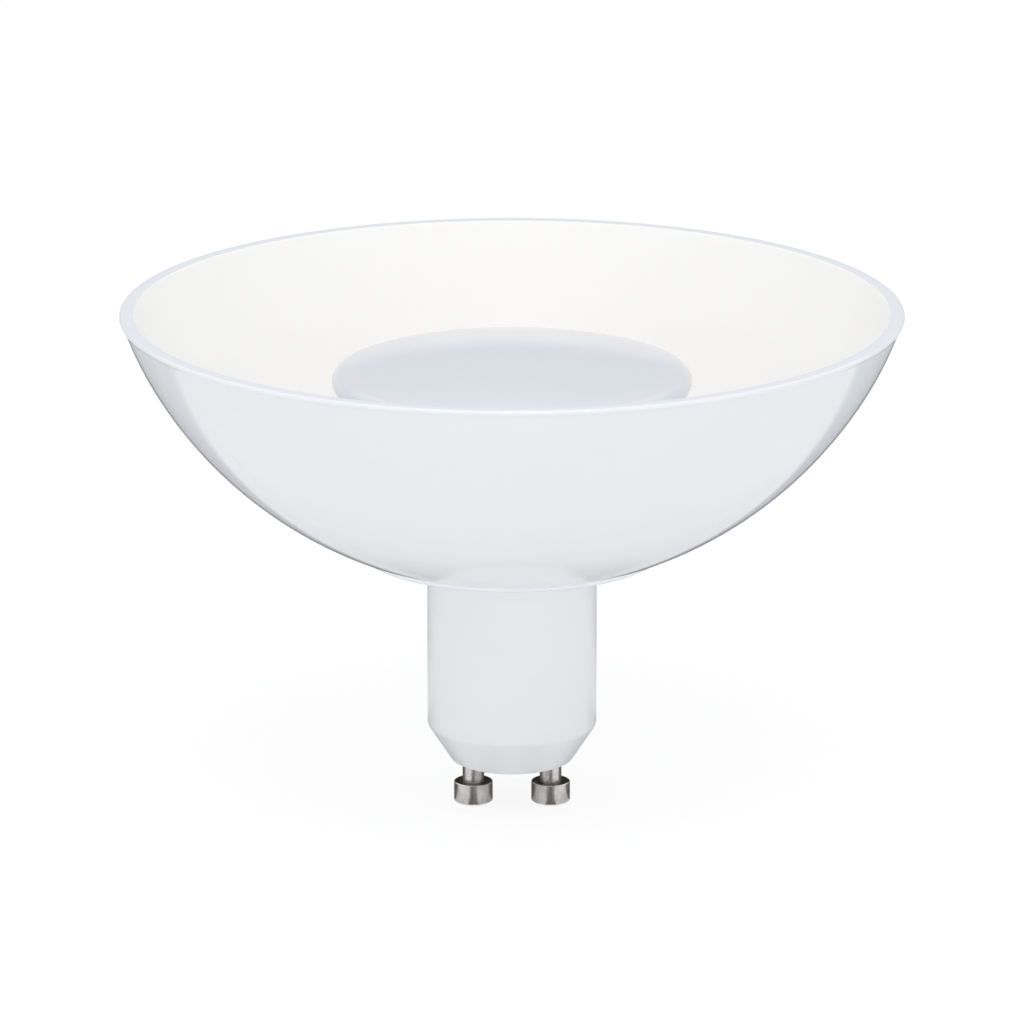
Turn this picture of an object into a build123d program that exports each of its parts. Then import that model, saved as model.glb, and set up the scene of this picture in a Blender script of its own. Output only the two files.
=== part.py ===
from build123d import *
from math import acos, asin, atan, atan2, cos, degrees, radians, sin, sqrt
import os

# A two-pin LED reflector lamp, in millimetres.
# The origin is on the lamp's axis, on the end face that the pins stand out of.
# +Z points to the mouth of the bowl, and the pins lie side by side along X.

# Reflector bowl: a thin spherical wall with a flat hub, leaning out by some degrees at its lipped rim
rim_diameter = 100.0
rim_lean = 20.45
rim_lip = 0.14
bowl_wall = 1.8
rim_outer_round = 0.35
rim_inner_round = 0.2
hub_clearance = 0.15

# Base cap: the plain neck, its bevelled end and the thin collar that carries the bowl
cap_height = 28.25
neck_diameter = 21.8
collar_diameter = 38.8
collar_thickness = 0.4
collar_ledge = 0.1
collar_round = 0.8
end_diameter = 15.55
bevel_height = 4.8
bevel_round = 3.0
end_round = 0.6
cap_wall = 1.5

# Supports inside the base cap, for the pins and the driver board
boss_diameter = 4.8
boss_height = 3.0
post_width = 2.0
post_depth = 2.4
post_height = 5.1

# Contact pins
pin_spacing = 10.0
pin_head_diameter = 5.0
pin_head_height = 2.8
pin_head_chamfer = 0.3
pin_shank_diameter = 2.8
pin_shank_length = 3.2
pin_tail_diameter = 2.2
pin_clearance = 0.05
pin_rivet_diameter = 3.8
pin_rivet_height = 0.6
pin_cup_depth = 1.2

# Lamp housing: a flared cup whose tail passes through the bowl into the base cap
housing_height = 19.0
housing_rim_diameter = 43.2
housing_rim_height = 5.25
housing_wall = 1.4
flare_round = 2.0
foot_diameter = 24.6
foot_height = 0.8
tail_length = 13.0
tail_wall = 1.2
tail_clearance = 0.1
tail_bead_radius = 0.45
tail_bead_height = 2.5

# Heat sink: a cup that seats in the flare
sink_plate_drop = 2.75
sink_plate_thickness = 2.5
sink_wall = 1.3
sink_skirt_length = 9.0
sink_clearance = 0.1
lead_hole_diameter = 5.0

# Diffuser cover: a low dome with a rounded edge and a skirt that snaps into the housing
cover_overhang = 1.4
cover_edge_round = 1.35
cover_dome_height = 3.3
cover_wall = 1.3
cover_skirt_wall = 1.2
cover_clearance = 0.1
cover_bead_radius = 0.35

# LED board, its chips and its screws
led_board_clearance = 0.4
led_board_thickness = 1.0
led_count = 8
led_ring_inset = 4.5
led_length = 3.5
led_width = 2.8
led_height = 0.8
led_window_margin = 0.45
led_window_depth = 0.25
screw_count = 3
screw_ring_inset = 3.5
screw_diameter = 2.0
screw_length = 5.0
screw_head_diameter = 3.6
screw_head_height = 1.3
screw_socket_radius = 0.8
screw_socket_depth = 0.7
screw_hole_clearance = 0.15
screw_thread_clearance = 0.05

# Driver board, held in two slots of the tail
driver_thickness = 1.0
driver_offset = 2.5
slot_depth = 0.48
slot_clearance = 0.1

# Components on the front of the driver board, from its lower edge upwards
part_gap = 0.8
fuse_diameter = 2.2
fuse_length = 5.0
fuse_pitch = 7.0
fuse_lead_diameter = 0.6
fuse_standoff = 0.5
fuse_round = 0.4
film_width = 8.0
film_height = 4.2
film_depth = 6.5
film_round = 0.5
inductor_diameter = 7.4
inductor_depth = 7.0
inductor_flange = 1.1
inductor_post_diameter = 3.4
winding_diameter = 6.8
winding_clearance = 0.05
capacitor_diameter = 8.0
capacitor_length = 10.0
capacitor_round = 0.5
crimp_place = 1.6
crimp_width = 0.8
crimp_depth = 0.35

# Packages on the back of the driver board
package_leg_length = 0.9
package_leg_width = 0.5
package_leg_height = 0.5
rectifier_size = (4.8, 4.0, 1.5)
rectifier_leg_count = 2
rectifier_leg_pitch = 2.5
chip_size = (4.0, 5.0, 1.5)
chip_leg_count = 4
chip_leg_pitch = 1.27

# Leads
lead_diameter = 0.8
lead_bend = 0.6
lead_cup_clearance = 0.1
pad_margin = 1.5
led_lead_spacing = 2.4
led_pad_spacing = 8.4
led_lead_arch = 1.3

# Radii of the round pieces
rim_radius = rim_diameter / 2
round_centre_radius = rim_radius - rim_outer_round
round_reach = round_centre_radius / cos(radians(rim_lean))
bowl_radius = round_reach + rim_outer_round - rim_lip
inner_bowl_radius = bowl_radius - bowl_wall
neck_radius = neck_diameter / 2
collar_radius = collar_diameter / 2
seat_radius = collar_radius - collar_ledge
end_radius = end_diameter / 2
cap_inner_radius = neck_radius - cap_wall
tail_radius = cap_inner_radius - tail_clearance
tail_inner_radius = tail_radius - tail_wall
hub_hole_radius = tail_radius + hub_clearance
foot_radius = foot_diameter / 2
housing_rim_radius = housing_rim_diameter / 2
housing_bore_radius = housing_rim_radius - housing_wall
cover_radius = housing_rim_radius + cover_overhang
skirt_radius = housing_bore_radius - cover_clearance
skirt_inner_radius = skirt_radius - cover_skirt_wall
sink_radius = housing_bore_radius - sink_clearance
led_board_radius = skirt_inner_radius - led_board_clearance
screw_ring_radius = led_board_radius - screw_ring_inset
led_ring_radius = screw_ring_radius - led_ring_inset
cup_radius = lead_diameter / 2 + lead_cup_clearance

# Heights along the axis, from the end face up
boss_top = cap_wall + boss_height
driver_bottom = cap_wall + post_height
bowl_centre = cap_height + sqrt(bowl_radius**2 - seat_radius**2)
round_height = bowl_centre - round_reach * sin(radians(rim_lean))
rim_top = round_height + rim_outer_round
hub_top = cap_height + bowl_wall
tail_end = hub_top - tail_length
tail_bead = tail_end + tail_bead_height
foot_top = hub_top + foot_height
housing_floor = hub_top + housing_wall
housing_top = hub_top + housing_height
flare_top = housing_top - housing_rim_height
sink_top = housing_top - sink_plate_drop
sink_plate_bottom = sink_top - sink_plate_thickness
sink_skirt_end = sink_plate_bottom - sink_skirt_length
skirt_end = sink_top + cover_clearance
cover_bead = (housing_top + skirt_end) / 2
led_board_top = sink_top + led_board_thickness

# Heights of what is soldered to the driver board, and of the board's top edge above it all
pin_pad = driver_bottom + pad_margin
fuse_height = pin_pad + (lead_diameter + fuse_diameter) / 2
film_bottom = fuse_height + fuse_diameter / 2 + part_gap
inductor_height = film_bottom + film_height + part_gap + inductor_diameter / 2
capacitor_height = housing_floor + part_gap + capacitor_diameter / 2
led_lead_start = capacitor_height + capacitor_diameter / 2 + part_gap + lead_diameter / 2
driver_top = led_lead_start + pad_margin
rectifier_height = film_bottom + film_height / 2
chip_height = inductor_height

# Slopes of the bevel and of the flare
bevel_slope = (neck_radius - end_radius) / bevel_height
bevel_inset = cap_wall / cos(atan(bevel_slope))
flare_slope = (housing_rim_radius - foot_radius) / (flare_top - foot_top)


def flare_radius(height, inset):
    """Radius, at a height, of the cone that lies an inset inside the flare."""
    return foot_radius + (height - foot_top) * flare_slope - inset / cos(atan(flare_slope))


def flare_height(radius, inset):
    """Height at which the cone that lies an inset inside the flare has a radius."""
    return foot_top + (radius - foot_radius + inset / cos(atan(flare_slope))) / flare_slope


# Reflector bowl, whose rounded rim stands out of the wall by the lip
bowl_middle = (0, bowl_centre)
round_middle = (round_centre_radius, round_height)
lip_cosine = (bowl_radius**2 - round_reach**2 - rim_outer_round**2) / (2 * round_reach * rim_outer_round)
lip_start = -rim_lean - degrees(acos(lip_cosine))
lip_radius = round_centre_radius + rim_outer_round * cos(radians(lip_start))
outer_start = -degrees(acos(seat_radius / bowl_radius))
outer_end = -degrees(acos(lip_radius / bowl_radius))
inner_start = -degrees(asin((bowl_centre - hub_top) / inner_bowl_radius))
inner_end = -degrees(asin((bowl_centre - rim_top) / inner_bowl_radius))

with BuildPart() as reflector_bowl:
    with BuildSketch(Plane.XZ):
        with BuildLine():
            outside = CenterArc(bowl_middle, bowl_radius, outer_start, outer_end - outer_start)
            rim = CenterArc(round_middle, rim_outer_round, lip_start, 90 - lip_start)
            inside = CenterArc(bowl_middle, inner_bowl_radius, inner_start, inner_end - inner_start)
            Line(rim @ 1, inside @ 1)
            Polyline(
                inside @ 0,
                (hub_hole_radius, hub_top),
                (hub_hole_radius, cap_height),
                outside @ 0,
            )
        make_face()
    revolve(axis=Axis.Z)
    rim_circles = reflector_bowl.edges().filter_by(GeomType.CIRCLE).group_by(Axis.Z)[-1]
    fillet(rim_circles.sort_by(SortBy.RADIUS)[0], rim_inner_round)

# Driver board, with its edges in the slots of the tail
driver_back = driver_offset + driver_thickness
driver_middle = (driver_offset + driver_back) / 2
slot_half_width = sqrt(tail_inner_radius**2 - driver_middle**2) + slot_depth
driver_half_width = slot_half_width - slot_clearance
driver_front_plane = Plane.XZ.offset(-driver_offset)
driver_back_plane = Plane.XZ.offset(-driver_back)

with BuildPart() as driver_board:
    with BuildSketch(driver_back_plane):
        with Locations((0, (driver_bottom + driver_top) / 2)):
            Rectangle(2 * driver_half_width, driver_top - driver_bottom)
    extrude(amount=driver_thickness)

# Hollow of the base cap, less the pin bosses and the two posts under the driver board
hollow_floor_radius = end_radius + cap_wall * bevel_slope - bevel_inset
hollow_bevel_top = (cap_inner_radius - end_radius + bevel_inset) / bevel_slope
post_place = driver_half_width - post_width / 2

with BuildPart() as cap_hollow:
    with BuildSketch(Plane.XZ):
        with BuildLine():
            Polyline(
                (0, cap_wall),
                (hollow_floor_radius, cap_wall),
                (cap_inner_radius, hollow_bevel_top),
                (cap_inner_radius, cap_height),
                (0, cap_height),
                close=True,
            )
        make_face()
    revolve(axis=Axis.Z)
    with BuildSketch(Plane.XZ):
        with Locations((tail_radius, tail_bead)):
            Circle(tail_bead_radius + tail_clearance)
    revolve(axis=Axis.Z)
    with BuildSketch(Plane.XY.offset(cap_wall)):
        with GridLocations(pin_spacing, 0, 2, 1):
            Circle(boss_diameter / 2)
    extrude(amount=boss_height, mode=Mode.SUBTRACT)
    with BuildSketch(Plane.XY.offset(cap_wall)):
        with Locations((-post_place, driver_middle), (post_place, driver_middle)):
            Rectangle(post_width, post_depth)
    extrude(amount=post_height, mode=Mode.SUBTRACT)

# Base cap
with BuildPart() as base_cap:
    with BuildSketch(Plane.XZ):
        with BuildLine():
            Polyline(
                (0, 0),
                (end_radius, 0),
                (neck_radius, bevel_height),
                (neck_radius, cap_height - collar_thickness),
                (collar_radius, cap_height - collar_thickness),
                (collar_radius, cap_height),
                (0, cap_height),
                close=True,
            )
        make_face()
    revolve(axis=Axis.Z)
    collar_circles = base_cap.edges().filter_by(GeomType.CIRCLE).group_by(Axis.Z)[2]
    fillet(collar_circles.sort_by(SortBy.RADIUS)[0], collar_round)
    fillet(base_cap.edges().filter_by(GeomType.CIRCLE).group_by(Axis.Z)[1], bevel_round)
    fillet(base_cap.edges().filter_by(GeomType.CIRCLE).group_by(Axis.Z)[0], end_round)
    add(cap_hollow.part, mode=Mode.SUBTRACT)
    with GridLocations(pin_spacing, 0, 2, 1):
        Hole(pin_tail_diameter / 2 + pin_clearance)


# Contact pins, riveted over the bosses
def contact_pin(place):
    """One turned pin: head, shank, riveted tail and the cup for its lead."""
    head_bottom = -pin_shank_length - pin_head_height
    rivet_top = boss_top + pin_rivet_height
    pin_plane = Plane(origin=(place, 0, 0), x_dir=(1, 0, 0), z_dir=(0, -1, 0))
    with BuildPart() as pin:
        with BuildSketch(pin_plane):
            with BuildLine():
                Polyline(
                    (0, head_bottom),
                    (pin_head_diameter / 2, head_bottom),
                    (pin_head_diameter / 2, -pin_shank_length),
                    (pin_shank_diameter / 2, -pin_shank_length),
                    (pin_shank_diameter / 2, 0),
                    (pin_tail_diameter / 2, 0),
                    (pin_tail_diameter / 2, boss_top),
                    (pin_rivet_diameter / 2, boss_top),
                    (pin_rivet_diameter / 2, rivet_top),
                    (cup_radius, rivet_top),
                    (cup_radius, rivet_top - pin_cup_depth),
                    (0, rivet_top - pin_cup_depth),
                    close=True,
                )
            make_face()
        revolve(axis=Axis((place, 0, 0), (0, 0, 1)))
        head_circles = pin.edges().filter_by(GeomType.CIRCLE).group_by(SortBy.RADIUS)[-1]
        chamfer(head_circles, pin_head_chamfer)
    return pin


contact_pin_left = contact_pin(-pin_spacing / 2)
contact_pin_right = contact_pin(pin_spacing / 2)

# Lamp housing
with BuildPart() as lamp_housing:
    with BuildSketch(Plane.XZ):
        with BuildLine():
            Polyline(
                (tail_inner_radius, tail_end),
                (tail_radius, tail_end),
                (tail_radius, hub_top),
                (foot_radius, hub_top),
                (foot_radius, foot_top),
                (housing_rim_radius, flare_top),
                (housing_rim_radius, housing_top),
                (housing_bore_radius, housing_top),
                (housing_bore_radius, flare_height(housing_bore_radius, housing_wall)),
                (flare_radius(housing_floor, housing_wall), housing_floor),
                (tail_inner_radius, housing_floor),
                close=True,
            )
        make_face()
    revolve(axis=Axis.Z)
    rim_circles = lamp_housing.edges().filter_by(GeomType.CIRCLE).group_by(SortBy.RADIUS)[-1]
    fillet(rim_circles.sort_by(Axis.Z)[0], flare_round)
    with BuildSketch(Plane.XZ):
        with Locations((tail_radius, tail_bead)):
            Circle(tail_bead_radius)
    revolve(axis=Axis.Z)
    with BuildSketch(Plane.XZ):
        with Locations((skirt_radius, cover_bead)):
            Circle(cover_bead_radius + cover_clearance)
    revolve(axis=Axis.Z, mode=Mode.SUBTRACT)
    with BuildSketch(Plane.XY.offset(tail_end)):
        with Locations((0, driver_middle)):
            Rectangle(2 * slot_half_width, driver_thickness + 2 * slot_clearance)
    extrude(amount=housing_floor - tail_end, mode=Mode.SUBTRACT)

# Heat sink
sink_inset = housing_wall + sink_clearance
sink_inner_inset = sink_inset + sink_wall

with BuildPart() as heat_sink:
    with BuildSketch(Plane.XZ):
        with BuildLine():
            Polyline(
                (0, sink_plate_bottom),
                (0, sink_top),
                (sink_radius, sink_top),
                (sink_radius, flare_height(sink_radius, sink_inset)),
                (flare_radius(sink_skirt_end, sink_inset), sink_skirt_end),
                (flare_radius(sink_skirt_end, sink_inner_inset), sink_skirt_end),
                (flare_radius(sink_plate_bottom, sink_inner_inset), sink_plate_bottom),
                close=True,
            )
        make_face()
    revolve(axis=Axis.Z)
    with BuildSketch(Plane.XY.offset(sink_top)):
        Circle(lead_hole_diameter / 2)
        with PolarLocations(screw_ring_radius, screw_count):
            Circle(screw_diameter / 2 + screw_thread_clearance)
    extrude(amount=-sink_plate_thickness, mode=Mode.SUBTRACT)

# Diffuser cover
edge_centre_radius = cover_radius - cover_edge_round
edge_height = housing_top + cover_edge_round
dome_top = edge_height + cover_dome_height
dome_radius = (edge_centre_radius**2 + cover_dome_height**2 - cover_edge_round**2) / (
    2 * (cover_dome_height - cover_edge_round)
)
dome_centre = dome_top - dome_radius
edge_angle = degrees(atan2(edge_height - dome_centre, edge_centre_radius))
inner_dome_radius = dome_radius - cover_wall
inner_dome_edge = dome_centre + sqrt(inner_dome_radius**2 - skirt_inner_radius**2)
inner_dome_angle = degrees(atan2(inner_dome_edge - dome_centre, skirt_inner_radius))

with BuildPart() as diffuser_cover:
    with BuildSketch(Plane.XZ):
        with BuildLine():
            edge_middle = (edge_centre_radius, edge_height)
            edge = CenterArc(edge_middle, cover_edge_round, -90, edge_angle + 90)
            dome = CenterArc((0, dome_centre), dome_radius, edge_angle, 90 - edge_angle)
            hollow = CenterArc((0, dome_centre), inner_dome_radius, inner_dome_angle, 90 - inner_dome_angle)
            Line(dome @ 1, hollow @ 1)
            Polyline(
                hollow @ 0,
                (skirt_inner_radius, skirt_end),
                (skirt_radius, skirt_end),
                (skirt_radius, housing_top),
                edge @ 0,
            )
        make_face()
    revolve(axis=Axis.Z)
    with BuildSketch(Plane.XZ):
        with Locations((skirt_radius, cover_bead)):
            Circle(cover_bead_radius)
    revolve(axis=Axis.Z)

# LED board
with BuildPart() as led_board:
    with BuildSketch(Plane.XY.offset(sink_top)):
        Circle(led_board_radius)
        Circle(lead_hole_diameter / 2, mode=Mode.SUBTRACT)
        with PolarLocations(screw_ring_radius, screw_count):
            Circle(screw_diameter / 2 + screw_hole_clearance, mode=Mode.SUBTRACT)
    extrude(amount=led_board_thickness)

# LED chips in a ring, each with a sunk window
with BuildPart() as led_chips:
    with BuildSketch(Plane.XY.offset(led_board_top)):
        with PolarLocations(led_ring_radius, led_count):
            Rectangle(led_length, led_width)
    extrude(amount=led_height)
    with BuildSketch(Plane.XY.offset(led_board_top + led_height)):
        with PolarLocations(led_ring_radius, led_count):
            Rectangle(led_length - 2 * led_window_margin, led_width - 2 * led_window_margin)
    extrude(amount=-led_window_depth, mode=Mode.SUBTRACT)

# Screws that hold the LED board to the heat sink
with BuildPart() as board_screws:
    with BuildSketch(Plane.XY.offset(led_board_top)):
        with PolarLocations(screw_ring_radius, screw_count):
            Circle(screw_head_diameter / 2)
    extrude(amount=screw_head_height)
    with BuildSketch(Plane.XY.offset(led_board_top)):
        with PolarLocations(screw_ring_radius, screw_count):
            Circle(screw_diameter / 2)
    extrude(amount=-screw_length)
    with BuildSketch(Plane.XY.offset(led_board_top + screw_head_height)):
        with PolarLocations(screw_ring_radius, screw_count):
            RegularPolygon(screw_socket_radius, 6)
    extrude(amount=-screw_socket_depth, mode=Mode.SUBTRACT)

# Fuse resistor, lying across the board on its two bent leads
fuse_axis = driver_offset - fuse_standoff - fuse_diameter / 2

with BuildPart() as fuse_resistor:
    with BuildLine() as fuse_wire:
        FilletPolyline(
            (-fuse_pitch / 2, driver_offset, fuse_height),
            (-fuse_pitch / 2, fuse_axis, fuse_height),
            (fuse_pitch / 2, fuse_axis, fuse_height),
            (fuse_pitch / 2, driver_offset, fuse_height),
            radius=lead_bend,
        )
    with BuildSketch(Plane(origin=fuse_wire.line @ 0, z_dir=fuse_wire.line % 0)):
        Circle(fuse_lead_diameter / 2)
    sweep()
    with BuildSketch(Plane.YZ):
        with Locations((fuse_axis, fuse_height)):
            Circle(fuse_diameter / 2)
    extrude(amount=fuse_length / 2, both=True)
    fuse_ends = fuse_resistor.edges().filter_by(GeomType.CIRCLE)
    fillet(fuse_ends.group_by(SortBy.RADIUS)[-1], fuse_round)

# Film capacitor
with BuildPart() as film_capacitor:
    with BuildSketch(driver_front_plane):
        with Locations((0, film_bottom + film_height / 2)):
            Rectangle(film_width, film_height)
    extrude(amount=film_depth)
    film_top = film_capacitor.faces().sort_by(Axis.Y)[0]
    fillet(film_top.edges() + film_capacitor.edges().filter_by(Axis.Y), film_round)

# Inductor: a flanged core and the winding between its flanges
winding_start = driver_front_plane.offset(inductor_flange)
winding_end = driver_front_plane.offset(inductor_depth - inductor_flange)
winding_depth = inductor_depth - 2 * inductor_flange

with BuildPart() as inductor_core:
    with BuildSketch(driver_front_plane, winding_end):
        with Locations((0, inductor_height)):
            Circle(inductor_diameter / 2)
    extrude(amount=inductor_flange)
    with BuildSketch(winding_start):
        with Locations((0, inductor_height)):
            Circle(inductor_post_diameter / 2)
    extrude(amount=winding_depth)

with BuildPart() as inductor_winding:
    with BuildSketch(winding_start):
        with Locations((0, inductor_height)):
            Circle(winding_diameter / 2)
            Circle(inductor_post_diameter / 2 + winding_clearance, mode=Mode.SUBTRACT)
    extrude(amount=winding_depth)

# Smoothing capacitor, standing on the board in the widest part of the housing
capacitor_end = driver_offset - capacitor_length
crimp_middle = driver_offset - crimp_place

with BuildPart() as smoothing_capacitor:
    with BuildSketch(Plane.XY.offset(capacitor_height)):
        with BuildLine():
            Polyline(
                (0, driver_offset),
                (capacitor_diameter / 2, driver_offset),
                (capacitor_diameter / 2, crimp_middle + crimp_width / 2),
                (capacitor_diameter / 2 - crimp_depth, crimp_middle),
                (capacitor_diameter / 2, crimp_middle - crimp_width / 2),
                (capacitor_diameter / 2, capacitor_end),
                (0, capacitor_end),
                close=True,
            )
        make_face()
    revolve(axis=Axis((0, 0, capacitor_height), (0, 1, 0)))
    fillet(smoothing_capacitor.faces().sort_by(Axis.Y)[0].edges(), capacitor_round)


# Packages soldered to the back of the driver board
def flat_package(height, size, leg_count, leg_pitch):
    """A moulded package on the board's back, with a row of legs along each side."""
    width, length, thickness = size
    with BuildPart() as package:
        with BuildSketch(driver_back_plane):
            with Locations((0, height)):
                Rectangle(width, length)
        extrude(amount=-thickness)
        with BuildSketch(driver_back_plane):
            with Locations((0, height)):
                with GridLocations(width + package_leg_length, leg_pitch, 2, leg_count):
                    Rectangle(package_leg_length, package_leg_width)
        extrude(amount=-package_leg_height)
    return package


bridge_rectifier = flat_package(rectifier_height, rectifier_size, rectifier_leg_count, rectifier_leg_pitch)
driver_chip = flat_package(chip_height, chip_size, chip_leg_count, chip_leg_pitch)


# Leads
def lead(*route):
    """A round wire along straight runs with bent corners."""
    with BuildPart() as wire:
        with BuildLine() as path:
            FilletPolyline(*route, radius=lead_bend)
        with BuildSketch(Plane(origin=path.line @ 0, z_dir=path.line % 0)):
            Circle(lead_diameter / 2)
        sweep()
    return wire


def pin_lead(place):
    """A lead from the cup of a pin up and across to the front of the driver board."""
    cup_bottom = boss_top + pin_rivet_height - pin_cup_depth
    return lead((place, 0, cup_bottom), (place, 0, pin_pad), (place, driver_offset, pin_pad))


def led_lead(side):
    """A lead from the driver board up through the heat sink and over to its pad."""
    across = side * led_lead_spacing / 2
    pad = side * led_pad_spacing / 2
    arch = led_board_top + led_lead_arch
    return lead(
        (across, driver_offset, led_lead_start),
        (across, 0, led_lead_start),
        (across, 0, arch),
        (pad, 0, arch),
        (pad, 0, led_board_top),
    )


live_lead = pin_lead(-pin_spacing / 2)
neutral_lead = pin_lead(pin_spacing / 2)
led_positive_lead = led_lead(-1)
led_negative_lead = led_lead(1)

# One STEP file for each piece
pieces = {
    "reflector_bowl": reflector_bowl,
    "diffuser_cover": diffuser_cover,
    "base_cap": base_cap,
    "contact_pin_left": contact_pin_left,
    "contact_pin_right": contact_pin_right,
    "lamp_housing": lamp_housing,
    "heat_sink": heat_sink,
    "led_board": led_board,
    "led_chips": led_chips,
    "board_screws": board_screws,
    "driver_board": driver_board,
    "fuse_resistor": fuse_resistor,
    "film_capacitor": film_capacitor,
    "inductor_core": inductor_core,
    "inductor_winding": inductor_winding,
    "smoothing_capacitor": smoothing_capacitor,
    "bridge_rectifier": bridge_rectifier,
    "driver_chip": driver_chip,
    "live_lead": live_lead,
    "neutral_lead": neutral_lead,
    "led_positive_lead": led_positive_lead,
    "led_negative_lead": led_negative_lead,
}

os.makedirs("parts", exist_ok=True)
for name, piece in pieces.items():
    piece.part.label = name
    export_step(piece.part, f"parts/{name}.step")

print(f"rim at {rim_top:.2f} mm, hub at {hub_top:.2f} mm, cover top at {dome_top:.2f} mm")
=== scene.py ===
from math import acos, asin, atan2, cos, pi, radians, sin, tan

import bmesh
import bpy
from bpy.props import FloatProperty, FloatVectorProperty, IntProperty, PointerProperty
from mathutils import Matrix, Vector


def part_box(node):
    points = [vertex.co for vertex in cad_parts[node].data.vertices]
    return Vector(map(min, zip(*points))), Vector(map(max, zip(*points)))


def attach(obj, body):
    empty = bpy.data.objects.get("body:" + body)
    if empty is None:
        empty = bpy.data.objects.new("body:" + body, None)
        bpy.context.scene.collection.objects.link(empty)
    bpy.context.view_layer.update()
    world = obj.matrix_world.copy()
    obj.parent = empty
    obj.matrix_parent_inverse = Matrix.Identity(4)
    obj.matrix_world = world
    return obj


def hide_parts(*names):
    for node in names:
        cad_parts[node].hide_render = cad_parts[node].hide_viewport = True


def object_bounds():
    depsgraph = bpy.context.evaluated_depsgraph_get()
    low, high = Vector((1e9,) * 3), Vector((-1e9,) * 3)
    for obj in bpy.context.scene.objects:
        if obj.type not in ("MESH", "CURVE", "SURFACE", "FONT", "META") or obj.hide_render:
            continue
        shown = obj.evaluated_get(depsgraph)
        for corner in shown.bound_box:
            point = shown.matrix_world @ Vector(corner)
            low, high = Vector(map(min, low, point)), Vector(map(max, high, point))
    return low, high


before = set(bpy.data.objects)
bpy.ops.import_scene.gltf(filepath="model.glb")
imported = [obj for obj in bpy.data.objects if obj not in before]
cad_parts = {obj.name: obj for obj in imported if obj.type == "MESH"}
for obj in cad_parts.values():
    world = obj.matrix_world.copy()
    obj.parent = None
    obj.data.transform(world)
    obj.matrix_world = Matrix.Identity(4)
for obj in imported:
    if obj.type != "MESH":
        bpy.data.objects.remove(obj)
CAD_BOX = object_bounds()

bl_info = {
    "name": "LED spot bulb",
    "version": (1, 0, 0),
    "blender": (4, 5, 0),
    "location": "View3D > Sidebar > Lamp",
    "description": "Makes the finished pieces of a reflector lamp and the stage it stands on",
    "category": "Object",
}

# Corners of the CAD pieces that the finished pieces stand in for
BOWL_LOW, BOWL_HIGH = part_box("reflector_bowl")
COVER_LOW, COVER_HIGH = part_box("diffuser_cover")
CAP_LOW, CAP_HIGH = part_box("base_cap")
HOUSING_LOW, HOUSING_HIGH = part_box("lamp_housing")
PIN_LOW, PIN_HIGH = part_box("contact_pin_right")


def length(name, description, default):
    """A length in metres."""
    return FloatProperty(
        name=name,
        description=description,
        default=default,
        min=0.0,
        precision=5,
        unit="LENGTH",
        subtype="DISTANCE",
    )


def height(name, description, default):
    """A height over the end face of the base, in metres, which may lie below it."""
    return FloatProperty(
        name=name, description=description, default=default, precision=5, unit="LENGTH", subtype="DISTANCE"
    )


def angle(name, description, default):
    """An angle given in degrees."""
    return FloatProperty(
        name=name, description=description, default=radians(default), unit="ROTATION", subtype="ANGLE"
    )


def colour(name, description, default):
    """A surface colour, in linear light."""
    return FloatVectorProperty(
        name=name, description=description, default=default, size=3, min=0.0, max=1.0, subtype="COLOR"
    )


def share(name, description, default):
    """A value from 0 to 1."""
    return FloatProperty(
        name=name, description=description, default=default, min=0.0, max=1.0, subtype="FACTOR"
    )


def span(name, description, default):
    """The first and last of a range of values from 0 to 1."""
    return FloatVectorProperty(
        name=name, description=description, default=default, size=2, min=0.0, max=1.0
    )


def amount(name, description, default):
    """A strength, a power or an index."""
    return FloatProperty(name=name, description=description, default=default, min=0.0)


def count(name, description, default):
    """A number of faces."""
    return IntProperty(name=name, description=description, default=default, min=3)


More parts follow.
